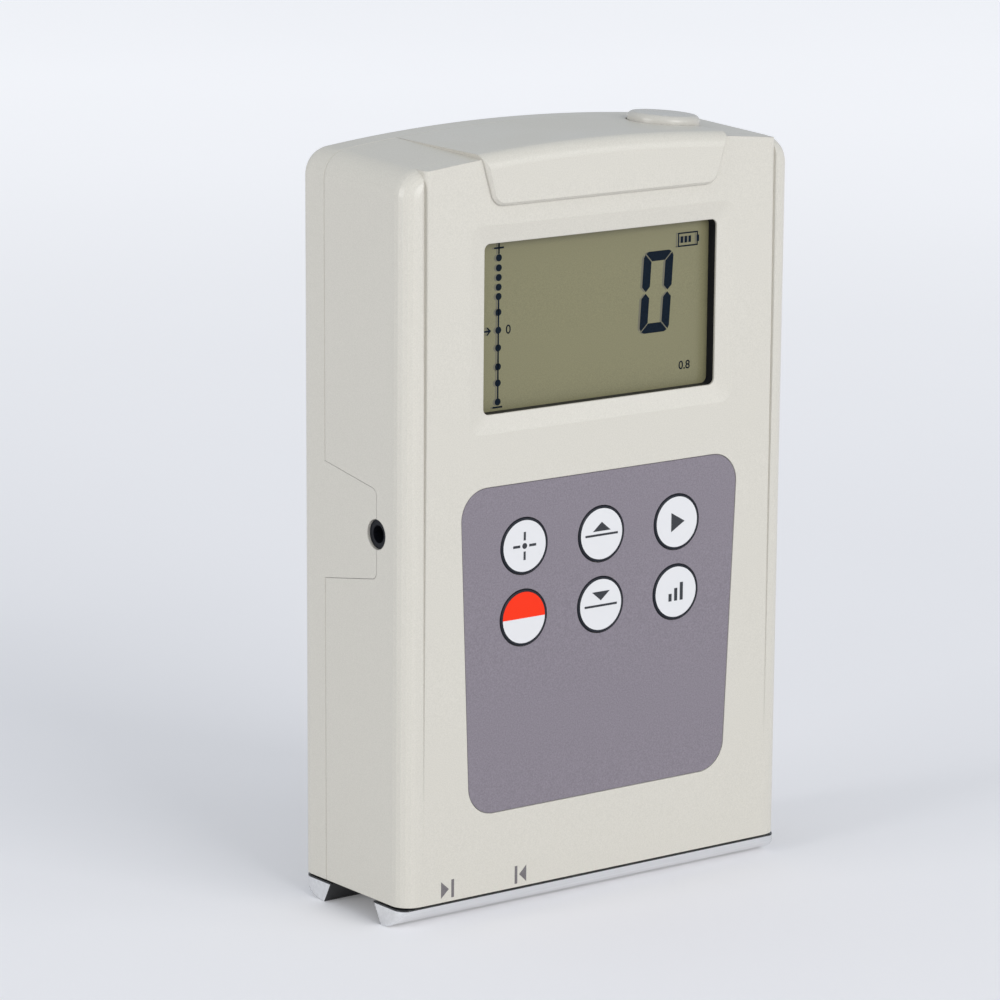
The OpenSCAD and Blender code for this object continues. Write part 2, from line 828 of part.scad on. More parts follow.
// Frame of the traverse: a strip on the web, two end plates that carry the rods, and a cradle for the motor
module drive_bracket() {
    strip_end = cradle_x + cradle_t / 2;
    color(steel)
    difference() {
        union() {
            translate([left_plate_x, mid_y - bracket_half, land_z])
                cube([strip_end - left_plate_x, 2 * bracket_half, strip_t]);
            for (x = [left_plate_x, right_plate_x])
                translate([x, mid_y - bracket_half, land_z])
                    cube([plate_t, 2 * bracket_half, bracket_top - land_z]);
            translate([cradle_x - cradle_t / 2, mid_y - gearbox_h / 2, land_z])
                cube([cradle_t, gearbox_h, drive_z - land_z - gearbox_h / 4]);
        }
        translate([left_plate_x - plate_t, mid_y - tube_r - end_gap, land_z + strip_t])
            cube([3 * plate_t, tube_d + 2 * end_gap, tube_z + tube_r + end_gap - land_z - strip_t]);
        for (s = [-1, 1])
            translate([left_plate_x - 1, mid_y + s * rod_pitch / 2, drive_z])
                rotate([0, 90, 0]) cylinder(d = rod_d, h = reach);
        translate([left_plate_x - plate_t, mid_y, drive_z])
            rotate([0, 90, 0]) cylinder(r = bush_r, h = 3 * plate_t);
        translate([right_plate_x - plate_t, mid_y, drive_z])
            rotate([0, 90, 0]) cylinder(r = screw_d / 2 + 3 * fit, h = 3 * plate_t);
        translate([motor_x, mid_y, drive_z])
            rotate([0, 90, 0]) cylinder(d = gearbox_h + 2 * slide_gap, h = motor_l + 1);
        for (x = bracket_screw_x, s = [-1, 1])
            translate([x, mid_y + s * bracket_screw_y, land_z - strip_t])
                cylinder(r = post_pilot_r + slide_gap, h = 3 * strip_t);
    }
}

module gearbox() {
    color(steel)
    difference() {
        translate([gearbox_x, mid_y - gearbox_w / 2, drive_z - gearbox_h / 2])
            cube([gearbox_l, gearbox_w, gearbox_h]);
        translate([gearbox_x - 1, mid_y, drive_z])
            rotate([0, 90, 0]) cylinder(r = screw_d / 2 + run_gap, h = 1 + gearbox_l / 2);
    }
}

module drive_motor() {
    color(steel)
    translate([motor_x, mid_y, drive_z]) rotate([0, 90, 0]) cylinder(d = gearbox_h, h = motor_l);
}

module lead_screw() {
    start_x = left_plate_x - 1;
    color(steel)
    translate([start_x, mid_y, drive_z])
        rotate([0, 90, 0])
            cylinder(d = screw_d, h = gearbox_x + gearbox_l / 2 - 0.3 - start_x);
}

module screw_bush() {
    color(brass)
    translate([left_plate_x - 0.8, mid_y, drive_z]) rotate([0, 90, 0])
        difference() {
            union() {
                cylinder(r = bush_r, h = plate_t + 0.8);
                cylinder(r = bush_r + 0.8, h = 0.8);
            }
            translate([0, 0, -1]) cylinder(r = screw_d / 2 + run_gap, h = plate_t + 3);
        }
}

module guide_rods() {
    color(steel)
    for (s = [-1, 1])
        translate([left_plate_x, mid_y + s * rod_pitch / 2, drive_z])
            rotate([0, 90, 0]) cylinder(d = rod_d, h = gearbox_x - left_plate_x);
}

// Sliding block on the rods, with a neck that grips the pick-up tube
module carriage() {
    color(black)
    difference() {
        union() {
            translate([car_x, mid_y - bracket_half, drive_z - block_half_h])
                cube([carriage_l, 2 * bracket_half, 2 * block_half_h]);
            translate([car_x, mid_y - tube_r - 1, tube_z - tube_r * 0.5])
                cube([carriage_l, tube_d + 2, drive_z - tube_z]);
        }
        for (s = [-1, 1])
            translate([car_x - carriage_l, mid_y + s * rod_pitch / 2, drive_z])
                rotate([0, 90, 0]) cylinder(r = rod_d / 2 + run_gap, h = 3 * carriage_l);
        translate([car_x - carriage_l, mid_y, drive_z])
            rotate([0, 90, 0]) cylinder(r = nut_r, h = 3 * carriage_l);
        translate([car_x - carriage_l, mid_y, tube_z])
            rotate([0, 90, 0]) cylinder(r = tube_r, h = 3 * carriage_l);
    }
}

module drive_nut() {
    color(brass)
    translate([car_x, mid_y, drive_z]) rotate([0, 90, 0])
        difference() {
            cylinder(r = nut_r, h = carriage_l);
            translate([0, 0, -carriage_l]) cylinder(r = screw_d / 2 + run_gap, h = 3 * carriage_l);
        }
}

module pickup_tube() {
    cap = 0.7;
    start_x = tip_x - 1.8;
    color(steel)
    difference() {
        translate([start_x, mid_y, tube_z])
            rotate([0, 90, 0]) cylinder(r = tube_r, h = car_x + carriage_l - start_x);
        translate([start_x + cap, mid_y, tube_z]) rotate([0, 90, 0]) cylinder(r = tube_bore_r, h = reach);
        translate([pivot_x, mid_y, tube_z])
            rotate([90, 0, 0]) cylinder(r = pivot_r, h = 2 * tube_d, center = true);
        translate([tip_x - 1, mid_y - 0.8, tube_z - 2 * tube_r]) cube([1.8, 1.6, 2 * tube_r]);
    }
}

// Turned nose round the stylus: its foot rides on the measured surface
module pickup_skid() {
    foot_r = 1.3;
    color(bright)
    difference() {
        translate([tip_x, mid_y, 0]) rotate_extrude()
            difference() {
                union() {
                    translate([0, floor_gap + 0.4]) square([foot_r, 2]);
                    translate([0, floor_gap]) square([foot_r - 0.4, 0.4]);
                    translate([foot_r - 0.4, floor_gap + 0.4]) quarter(0.4);
                    translate([0, floor_gap + 2]) square([nose_r, tube_z - 2]);
                }
                square([0.85, tube_z + 1]);
            }
        translate([tip_x - 2 * nose_r, mid_y, tube_z])
            rotate([0, 90, 0]) cylinder(r = tube_r, h = 4 * nose_r);
        translate([tip_x - 2 * nose_r, mid_y - 2 * nose_r, tube_z]) cube(4 * nose_r);
    }
}

module stylus_pivot() {
    color(steel)
    translate([pivot_x, mid_y, tube_z]) rotate([90, 0, 0])
        intersection() {
            cylinder(r = pivot_r, h = 2 * tube_d, center = true);
            cube([tube_d, tube_d, 2 * tube_r - 0.1], center = true);
        }
}

// Lever inside the tube: hub on the pivot, arm, and the shank that carries the tip
module stylus_arm() {
    color(steel)
    difference() {
        union() {
            translate([tip_x - 0.2, mid_y, tube_z])
                rotate([0, 90, 0]) cylinder(r = arm_r, h = pivot_x - tip_x);
            translate([pivot_x, mid_y, tube_z])
                rotate([90, 0, 0]) cylinder(r = hub_r, h = hub_w, center = true);
            translate([tip_x, mid_y, floor_gap + tip_h])
                cylinder(r = shank_tip_r, h = tube_z - floor_gap - tip_h);
        }
        translate([pivot_x, mid_y, tube_z])
            rotate([90, 0, 0]) cylinder(r = pivot_r + run_gap, h = 2 * hub_w, center = true);
    }
}

module stylus_tip() {
    color(bright)
    translate([tip_x, mid_y, floor_gap]) cylinder(r1 = 0.05, r2 = shank_tip_r, h = tip_h);
}

module end_sensors() {
    color(black)
    for (x = [left_plate_x + plate_t + fit, right_plate_x - sensor_l - fit])
        translate([x, mid_y + tube_r + sensor_gap, land_z + strip_t]) cube([sensor_l, sensor_w, sensor_w]);
}

// A pan-head screw along Z, with its head from -h to 0
module pan_screw(r, l, hr, h) {
    cylinder(r = r, h = l);
    difference() {
        translate([0, 0, -h]) cylinder(r = hr, h = h);
        for (a = [0, 90])
            rotate([0, 0, a]) translate([-hr * 0.55, -0.25, -h - 1]) cube([hr * 1.1, 0.5, 1 + h / 2]);
    }
}

module cover_screws() {
    color(steel)
    at_cover_screws() translate([0, 0, head_seat - cover_d])
        pan_screw(shank_r, cover_d - head_seat + cover_bite, head_r, head_h);
}

module base_screws() {
    color(steel)
    for (s = [-1, 1])
        translate([s * base_screw_x, mid_y, web_z + base_head_deep])
            pan_screw(post_pilot_r - slide_gap, land_z - web_z - base_head_deep + bite, head_r, small_head_h);
}

module board_screws() {
    color(steel)
    at_posts() translate([0, 0, board_y + board_t]) mirror([0, 0, 1])
        pan_screw(post_pilot_r - slide_gap, board_t + bite, small_head_r, small_head_h);
}

module bracket_screws() {
    color(steel)
    for (x = bracket_screw_x, s = [-1, 1])
        translate([x, mid_y + s * bracket_screw_y, land_z + strip_t]) mirror([0, 0, 1])
            pan_screw(post_pilot_r - slide_gap, strip_t + bracket_bite, small_head_r, small_head_h);
}

front_case();
rear_cover();
guide_base();
keypad_overlay();
key_cal();
key_up();
key_start();
key_power();
key_down();
key_cutoff();
top_button();
top_switch();
lcd_frame();
lcd_panel();
contact_strips();
main_board();
key_domes();
charging_socket();
battery_pack();
drive_bracket();
gearbox();
drive_motor();
lead_screw();
screw_bush();
guide_rods();
carriage();
drive_nut();
pickup_tube();
pickup_skid();
stylus_pivot();
stylus_arm();
stylus_tip();
end_sensors();
cover_screws();
base_screws();
board_screws();
bracket_screws();
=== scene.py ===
import bpy
import json
import math
from mathutils import Matrix, Vector


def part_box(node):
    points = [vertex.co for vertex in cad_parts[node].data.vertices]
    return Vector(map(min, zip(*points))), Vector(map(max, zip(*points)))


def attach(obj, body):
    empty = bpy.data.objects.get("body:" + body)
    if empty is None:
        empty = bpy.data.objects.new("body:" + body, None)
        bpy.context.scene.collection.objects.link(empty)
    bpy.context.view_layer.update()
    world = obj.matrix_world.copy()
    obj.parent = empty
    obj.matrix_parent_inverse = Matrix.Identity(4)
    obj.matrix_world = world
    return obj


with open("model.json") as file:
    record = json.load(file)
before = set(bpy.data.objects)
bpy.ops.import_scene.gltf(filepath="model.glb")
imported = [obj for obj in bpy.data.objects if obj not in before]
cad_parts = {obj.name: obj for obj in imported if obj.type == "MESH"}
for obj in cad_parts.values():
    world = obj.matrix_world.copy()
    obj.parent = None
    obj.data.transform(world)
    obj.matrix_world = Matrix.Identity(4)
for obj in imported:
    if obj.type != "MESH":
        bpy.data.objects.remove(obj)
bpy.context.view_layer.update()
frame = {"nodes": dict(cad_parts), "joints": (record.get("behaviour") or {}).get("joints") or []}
bpy.ops.object.select_all(action="DESELECT")


# Guide base: one bar of bright aluminium, milled along its length and then polished.
# Two rounded rails stand under the housing. The open channel between them and a thin band at the seam under
# the housing are painted near black as shade, not as a finish of the metal.
# A flat land on its top closes the foot of the housing.
cad = frame["nodes"]
mm = 0.001


def new_finish(name, colour, roughness, metallic=0.0):
    finish = bpy.data.materials.new(name)
    finish.use_nodes = True
    shader = finish.node_tree.nodes["Principled BSDF"]
    shader.inputs["Base Color"].default_value = (*colour, 1)
    shader.inputs["Roughness"].default_value = roughness
    shader.inputs["Metallic"].default_value = metallic
    return finish, finish.node_tree.nodes, finish.node_tree.links, shader


def surface_grain(finish, size, stretch=(1, 1, 1), detail=3.0):
    nodes, links = finish.node_tree.nodes, finish.node_tree.links
    place = nodes.new("ShaderNodeTexCoord")
    spread = nodes.new("ShaderNodeMapping")
    spread.inputs["Scale"].default_value = stretch
    noise = nodes.new("ShaderNodeTexNoise")
    noise.inputs["Scale"].default_value = 1 / size
    noise.inputs["Detail"].default_value = detail
    links.new(place.outputs["Object"], spread.inputs["Vector"])
    links.new(spread.outputs["Vector"], noise.inputs["Vector"])
    return noise.outputs["Fac"]


def tint_by(finish, grain, dark, light, spread=(0.3, 0.7)):
    nodes, links = finish.node_tree.nodes, finish.node_tree.links
    ramp = nodes.new("ShaderNodeValToRGB")
    ramp.color_ramp.elements[0].position = spread[0]
    ramp.color_ramp.elements[1].position = spread[1]
    ramp.color_ramp.elements[0].color = (*dark, 1)
    ramp.color_ramp.elements[1].color = (*light, 1)
    links.new(grain, ramp.inputs["Fac"])
    links.new(ramp.outputs["Color"], nodes["Principled BSDF"].inputs["Base Color"])
    return ramp


def vary_roughness(finish, grain, low, high, spread=(0.3, 0.7)):
    nodes, links = finish.node_tree.nodes, finish.node_tree.links
    span = nodes.new("ShaderNodeMapRange")
    span.inputs["From Min"].default_value = spread[0]
    span.inputs["From Max"].default_value = spread[1]
    span.inputs["To Min"].default_value = low
    span.inputs["To Max"].default_value = high
    links.new(grain, span.inputs["Value"])
    links.new(span.outputs["Result"], nodes["Principled BSDF"].inputs["Roughness"])


def raise_grain(finish, grain, depth, edge=0.0):
    nodes, links = finish.node_tree.nodes, finish.node_tree.links
    bump = nodes.new("ShaderNodeBump")
    bump.inputs["Strength"].default_value = 1.0
    bump.inputs["Distance"].default_value = depth
    links.new(grain, bump.inputs["Height"])
    if edge:
        soft_edge = nodes.new("ShaderNodeBevel")
        soft_edge.samples = 6
        soft_edge.inputs["Radius"].default_value = edge
        links.new(soft_edge.outputs["Normal"], bump.inputs["Normal"])
    links.new(bump.outputs["Normal"], nodes["Principled BSDF"].inputs["Normal"])


def dress(piece, finish):
    piece.data.materials.clear()
    piece.data.materials.append(finish)


rail_alloy, rail_nodes, rail_links, rail_shader = new_finish(
    "polished_rail_alloy", (0.83, 0.835, 0.84), roughness=0.12, metallic=1.0
)
rail_lines = surface_grain(rail_alloy, size=0.6 * mm, stretch=(0.02, 1, 1))
bright_alloy = tint_by(rail_alloy, rail_lines, dark=(0.78, 0.785, 0.79), light=(0.88, 0.885, 0.89))
vary_roughness(rail_alloy, rail_lines, low=0.07, high=0.16)
raise_grain(rail_alloy, rail_lines, depth=0.002 * mm, edge=0.4 * mm)
base_low, base_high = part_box("guide_base")
# Painted shade: the channel between the rails and the top band of the rails under the housing seam are
# coloured near black and made non-metallic, where shade falls.
channel_lean = 0.54
channel_reach = 7.4 * mm
seam_shade_band = 0.57 * mm
painted_shade_black = (0.028, 0.028, 0.030)
rail_place = rail_nodes.new("ShaderNodeTexCoord")
from_mid = rail_nodes.new("ShaderNodeVectorMath")
from_mid.operation = "SUBTRACT"
from_mid.inputs[1].default_value = (0, (base_low.y + base_high.y) / 2, 0)
outward = rail_nodes.new("ShaderNodeVectorMath")
outward.operation = "ABSOLUTE"
reach = rail_nodes.new("ShaderNodeVectorMath")
reach.operation = "DOT_PRODUCT"
reach.inputs[1].default_value = (0, 1, channel_lean)
in_channel = rail_nodes.new("ShaderNodeMath")
in_channel.operation = "LESS_THAN"
in_channel.inputs[1].default_value = channel_reach
heights = rail_nodes.new("ShaderNodeSeparateXYZ")
at_seam = rail_nodes.new("ShaderNodeMath")
at_seam.operation = "GREATER_THAN"
at_seam.inputs[1].default_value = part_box("front_case")[0].z - seam_shade_band
painted_shade_mask = rail_nodes.new("ShaderNodeMath")
painted_shade_mask.operation = "MAXIMUM"
painted_shade_mix = rail_nodes.new("ShaderNodeMix")
painted_shade_mix.data_type = "RGBA"
painted_shade_mix.inputs["B"].default_value = (*painted_shade_black, 1)
outside_painted_shade = rail_nodes.new("ShaderNodeMath")
outside_painted_shade.operation = "SUBTRACT"
outside_painted_shade.inputs[0].default_value = 1.0
rail_links.new(rail_place.outputs["Object"], from_mid.inputs[0])
rail_links.new(from_mid.outputs["Vector"], outward.inputs[0])
rail_links.new(outward.outputs["Vector"], reach.inputs[0])
rail_links.new(reach.outputs["Value"], in_channel.inputs[0])
rail_links.new(rail_place.outputs["Object"], heights.inputs["Vector"])
rail_links.new(heights.outputs["Z"], at_seam.inputs[0])
rail_links.new(in_channel.outputs["Value"], painted_shade_mask.inputs[0])
rail_links.new(at_seam.outputs["Value"], painted_shade_mask.inputs[1])
rail_links.new(painted_shade_mask.outputs["Value"], painted_shade_mix.inputs["Factor"])
rail_links.new(bright_alloy.outputs["Color"], painted_shade_mix.inputs["A"])
rail_links.new(painted_shade_mix.outputs["Result"], rail_shader.inputs["Base Color"])
rail_links.new(painted_shade_mask.outputs["Value"], outside_painted_shade.inputs[1])
rail_links.new(outside_painted_shade.outputs["Value"], rail_shader.inputs["Metallic"])
dress(cad["guide_base"], rail_alloy)


# Traverse frame: a machined aluminium bracket screwed to the base.
# Its two end plates carry the ground steel guide rods, and its cradle holds the motor can.
# Black slotted sensors at both ends see the carriage arrive.
bracket_alloy, *_ = new_finish("machined_bracket_alloy", (0.62, 0.63, 0.64), roughness=0.35, metallic=1.0)
mill_marks = surface_grain(bracket_alloy, size=0.5 * mm, stretch=(1, 0.05, 1))
tint_by(bracket_alloy, mill_marks, dark=(0.55, 0.56, 0.57), light=(0.70, 0.71, 0.72))
raise_grain(bracket_alloy, mill_marks, depth=0.004 * mm, edge=0.1 * mm)
dress(cad["drive_bracket"], bracket_alloy)

rod_steel, *_ = new_finish("ground_steel", (0.56, 0.57, 0.58), roughness=0.22, metallic=1.0)
ground_lines = surface_grain(rod_steel, size=0.4 * mm, stretch=(0.3, 1, 1))
tint_by(rod_steel, ground_lines, dark=(0.50, 0.51, 0.52), light=(0.64, 0.65, 0.66))
vary_roughness(rod_steel, ground_lines, low=0.16, high=0.32)
raise_grain(rod_steel, ground_lines, depth=0.002 * mm)
for name in ("guide_rods", "drive_motor", "pickup_tube", "pickup_skid", "stylus_pivot", "stylus_arm"):
    dress(cad[name], rod_steel)

satin_black, _, _, black_shader = new_finish("satin_black_plastic", (0.008, 0.008, 0.011), roughness=0.42)
black_shader.inputs["Specular IOR Level"].default_value = 0.16
black_grain = surface_grain(satin_black, size=0.25 * mm)
tint_by(satin_black, black_grain, dark=(0.006, 0.0065, 0.009), light=(0.010, 0.011, 0.015))
raise_grain(satin_black, black_grain, depth=0.006 * mm, edge=0.1 * mm)
for name in ("end_sensors", "carriage", "top_switch"):
    dress(cad[name], satin_black)


# Drive: a small geared motor turns the lead screw, which runs in a turned brass bush.
# The screw's fine thread is rolled, and the brass nut on it pulls the carriage along.
turned_brass, *_ = new_finish("turned_brass", (0.60, 0.42, 0.16), roughness=0.3, metallic=1.0)
turning_lines = surface_grain(turned_brass, size=0.3 * mm, stretch=(4, 0.4, 0.4))
tint_by(turned_brass, turning_lines, dark=(0.54, 0.37, 0.13), light=(0.66, 0.48, 0.20))
raise_grain(turned_brass, turning_lines, depth=0.003 * mm, edge=0.08 * mm)
for name in ("gearbox", "screw_bush", "drive_nut"):
    dress(cad[name], turned_brass)

screw_steel, screw_nodes, screw_links, _ = new_finish(
    "rolled_thread_steel", (0.50, 0.51, 0.53), roughness=0.28, metallic=1.0
)
thread_pitch, wave_period = 1.0 * mm, math.pi / 10
thread_place = screw_nodes.new("ShaderNodeTexCoord")
thread = screw_nodes.new("ShaderNodeTexWave")
thread.bands_direction = "X"
thread.inputs["Scale"].default_value = wave_period / thread_pitch
thread.inputs["Distortion"].default_value = 0.0
screw_links.new(thread_place.outputs["Object"], thread.inputs["Vector"])
tint_by(
    screw_steel, thread.outputs["Fac"],
    dark=(0.30, 0.31, 0.32), light=(0.60, 0.61, 0.63), spread=(0.1, 0.9),
)
raise_grain(screw_steel, thread.outputs["Fac"], depth=0.15 * mm)
dress(cad["lead_screw"], screw_steel)


# Stylus tip: a diamond cone, ground and polished to a fine point.
# It is bonded into the end of the stylus shank.
diamond, *_ = new_finish("ground_diamond", (0.80, 0.84, 0.88), roughness=0.08)
diamond_facets = surface_grain(diamond, size=0.1 * mm)
tint_by(diamond, diamond_facets, dark=(0.72, 0.77, 0.82), light=(0.88, 0.91, 0.94))
raise_grain(diamond, diamond_facets, depth=0.002 * mm)
dress(cad["stylus_tip"], diamond)


# Front and rear mouldings: warm cream ABS with a fine spark-eroded texture.
# They meet on a seam round the sides, and the cover's tongue reaches forward round the socket.
# The round top button is moulded in the same plastic, a little smoother.
def cream_moulding(name, dark, light, grain_depth, roughness, edge):
    finish, _, _, shader = new_finish(name, light, roughness)
    shader.inputs["Specular IOR Level"].default_value = 0.45
    fine = surface_grain(finish, size=0.18 * mm, detail=2.0)
    tint_by(finish, fine, dark, light)
    broad = surface_grain(finish, size=14 * mm, detail=1.0)
    uneven = 0.05
    vary_roughness(finish, broad, roughness - uneven, roughness + uneven)
    raise_grain(finish, fine, grain_depth, edge=edge)
    return finish


cream = cream_moulding(
    "cream_abs", dark=(0.552, 0.526, 0.464), light=(0.616, 0.588, 0.522),
    grain_depth=0.012 * mm, roughness=0.34, edge=0.2 * mm,
)
dress(cad["front_case"], cream)
dress(cad["rear_cover"], cream)
smooth_cream = cream_moulding(
    "smooth_cream_abs", dark=(0.508, 0.486, 0.438), light=(0.536, 0.514, 0.466),
    grain_depth=0.003 * mm, roughness=0.26, edge=0,
)
dress(cad["top_button"], smooth_cream)


# Trace marks: two signs printed on the foot of the front plate in warm grey ink.
# A triangle that meets a bar shows where the stylus starts, and its mirror image where it stops.
press_axis = Vector(next(j["axis"] for j in frame["joints"] if j["name"] == "key_up_press"))
plate_lean = math.atan2(press_axis.z, press_axis.y)
face_turn = (math.pi / 2 + plate_lean, 0, 0)
face_across = Vector((1, 0, 0))
face_up = Vector((0, -math.sin(plate_lean), math.cos(plate_lean)))
foot_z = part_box("front_case")[0].z
ink_film = 0.02 * mm
ink_sink = 0.01 * mm


def on_front_of(node, x, height):
    far_ahead = Vector((x, -1, foot_z + height))
    _, place, *_ = cad[node].ray_cast(far_ahead, Vector((0, 1, 0)))
    return place + press_axis * ink_sink


def thicken_film(name, film=ink_film):
    film_piece = bpy.context.object
    film_piece.name = name
    bpy.ops.object.mode_set(mode="EDIT")
    bpy.ops.mesh.select_all(action="SELECT")
    step = -press_axis * (film + ink_sink)
    bpy.ops.mesh.extrude_region_move(TRANSFORM_OT_translate={"value": step})
    bpy.ops.mesh.select_all(action="SELECT")
    bpy.ops.mesh.normals_make_consistent(inside=False)
    bpy.ops.object.mode_set(mode="OBJECT")
    bpy.ops.object.transform_apply(location=True, rotation=True, scale=True)
    film_piece.select_set(False)
    return film_piece


def film_disc(name, node, x, height, radius, corners=32):
    bpy.ops.mesh.primitive_circle_add(
        vertices=corners, radius=radius, fill_type="NGON",
        location=on_front_of(node, x, height), rotation=face_turn,
    )
    return thicken_film(name)


def film_bar(name, node, x, height, width, tall):
    bpy.ops.mesh.primitive_plane_add(size=1, location=on_front_of(node, x, height), rotation=face_turn)
    bpy.ops.transform.resize(value=(width, tall, 1), orient_type="LOCAL")
    return thicken_film(name)


def film_shape(name, node, x, height, outline):
    bpy.ops.mesh.primitive_plane_add(size=mm, location=on_front_of(node, x, height), rotation=face_turn)
    bpy.ops.object.mode_set(mode="EDIT")
    bpy.ops.mesh.select_all(action="SELECT")
    bpy.ops.mesh.merge(type="CENTER")
    bpy.ops.mesh.select_all(action="SELECT")
    corners = [face_across * across + face_up * up for across, up in outline]
    bpy.ops.transform.translate(value=corners[0])
    for last, corner in zip(corners, corners[1:]):
        bpy.ops.mesh.extrude_region_move(TRANSFORM_OT_translate={"value": corner - last})
    bpy.ops.mesh.select_all(action="SELECT")
    bpy.ops.mesh.edge_face_add()
    bpy.ops.object.mode_set(mode="OBJECT")
    return thicken_film(name)


def film_triangle(name, node, x, height, width, tall, points):
    corners = {
        "right": ((-0.5, -0.5), (-0.5, 0.5), (0.5, 0.0)),
        "left": ((0.5, -0.5), (0.5, 0.5), (-0.5, 0.0)),
        "up": ((-0.5, -0.5), (0.5, -0.5), (0.0, 0.5)),
        "down": ((-0.5, 0.5), (0.5, 0.5), (0.0, -0.5)),
    }[points]
    return film_shape(name, node, x, height, [(across * width, up * tall) for across, up in corners])


def film_copy(film, node, place, new_place):
    film.select_set(True)
    bpy.context.view_layer.objects.active = film
    bpy.ops.object.duplicate()
    twin = bpy.context.object
    bpy.ops.transform.translate(value=on_front_of(node, *new_place) - on_front_of(node, *place))
    bpy.ops.object.transform_apply(location=True, rotation=True, scale=True)
    twin.select_set(False)
    return twin


def join_films(name, films, finish, body):
    for film in films:
        film.select_set(True)
    joined = films[0]
    bpy.context.view_layer.objects.active = joined
    if len(films) > 1:
        bpy.ops.object.join()
    joined.name = name
    dress(joined, finish)
    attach(joined, body)
    joined.select_set(False)
    return joined


grey_ink, *_ = new_finish("warm_grey_ink", (0.14, 0.125, 0.13), roughness=0.55)
ink_grain = surface_grain(grey_ink, size=0.2 * mm)
tint_by(grey_ink, ink_grain, dark=(0.11, 0.10, 0.105), light=(0.17, 0.155, 0.16))
raise_grain(grey_ink, ink_grain, depth=0.003 * mm)
mark_height = 1.95 * mm
mark_tall = 2.6 * mm
mark_bar = 0.5 * mm
bar_tall = mark_tall + 0.2 * mm
start_arrow_x, start_bar_x = -28.88 * mm, -27.45 * mm
stop_bar_x, stop_arrow_x = -15.55 * mm, -14.28 * mm
start_arrow_wide, stop_arrow_wide = 1.45 * mm, 1.35 * mm
start_mark = [
    film_triangle(
        "start_arrow", "front_case", start_arrow_x, mark_height, start_arrow_wide, mark_tall, "right"
    ),
    film_bar("start_bar", "front_case", start_bar_x, mark_height, mark_bar, bar_tall),
]
stop_mark = [
    film_bar("stop_bar", "front_case", stop_bar_x, mark_height, mark_bar, bar_tall),
    film_triangle(
        "stop_arrow", "front_case", stop_arrow_x, mark_height, stop_arrow_wide, mark_tall, "left"
    ),
]
join_films("trace_marks", start_mark + stop_mark, grey_ink, "housing")


# Display: olive grey liquid crystal glass behind a black bezel, with rubber contact strips at its back.
# Its dark segments lie in the glass, just in front of the reflector.
dress(cad["lcd_frame"], satin_black)
lcd_glass, _, _, lcd_shader = new_finish("olive_display_glass", (0.190, 0.178, 0.114), roughness=0.35)
lcd_shader.inputs["Coat Weight"].default_value = 0.2
lcd_shader.inputs["Coat Roughness"].default_value = 0.05
lcd_shader.inputs["Specular IOR Level"].default_value = 0.25
reflector_grain = surface_grain(lcd_glass, size=0.12 * mm, detail=1.0)
tint_by(lcd_glass, reflector_grain, dark=(0.170, 0.160, 0.088), light=(0.211, 0.197, 0.108))
raise_grain(lcd_glass, reflector_grain, depth=0.001 * mm)
dress(cad["lcd_panel"], lcd_glass)

contact_rubber, contact_nodes, contact_links, _ = new_finish(
    "striped_contact_rubber", (0.05, 0.05, 0.05), roughness=0.6
)
stripe_place = contact_nodes.new("ShaderNodeTexCoord")
stripes = contact_nodes.new("ShaderNodeTexWave")
stripes.bands_direction = "X"
stripe_size = 3 * mm
stripes.inputs["Scale"].default_value = 1 / stripe_size
contact_links.new(stripe_place.outputs["Object"], stripes.inputs["Vector"])
tint_by(contact_rubber, stripes.outputs["Fac"], dark=(0.02, 0.02, 0.02), light=(0.12, 0.12, 0.12))
raise_grain(contact_rubber, stripes.outputs["Fac"], depth=0.01 * mm)
dress(cad["contact_strips"], contact_rubber)

segment_ink, _, _, segment_shader = new_finish("dark_display_segment", (0.006, 0.013, 0.022), roughness=0.5)
segment_shader.inputs["Specular IOR Level"].default_value = 0.05
segment_grain = surface_grain(segment_ink, size=0.3 * mm)
tint_by(segment_ink, segment_grain, dark=(0.003, 0.007, 0.013), light=(0.006, 0.012, 0.021))
raise_grain(segment_ink, segment_grain, depth=0.001 * mm)

digit_mid = (12.0 * mm, 88.55 * mm)
half_tall, half_wide, stroke = 6.25 * mm, 2.85 * mm, 1.5 * mm
digit_gap, digit_corner, digit_slant = 0.13 * mm, 0.9 * mm, 0.062
rounding = digit_corner * (1 - math.sqrt(0.5))
cross = [
    (-half_wide + rounding + digit_gap, half_tall - rounding), (-half_wide + digit_corner, half_tall),
    (half_wide - digit_corner, half_tall), (half_wide - rounding - digit_gap, half_tall - rounding),
    (half_wide - stroke - digit_gap, half_tall - stroke),
    (-half_wide + stroke + digit_gap, half_tall - stroke),
]
arm = [
    (-half_wide + rounding, half_tall - rounding - digit_gap), (-half_wide, half_tall - digit_corner),
    (-half_wide, digit_gap + stroke / 2),
    (-half_wide + stroke / 2, digit_gap), (-half_wide + stroke, digit_gap + stroke / 2),
    (-half_wide + stroke, half_tall - stroke - digit_gap),
]
segments = []
for level in (-1, 1):
    for outline, sides in ((cross, (1,)), (arm, (-1, 1))):
        for side in sides:
            leaning = [(side * across + digit_slant * level * up, level * up) for across, up in outline]
            segments.append(film_shape("digit_segment", "lcd_panel", *digit_mid, leaning))

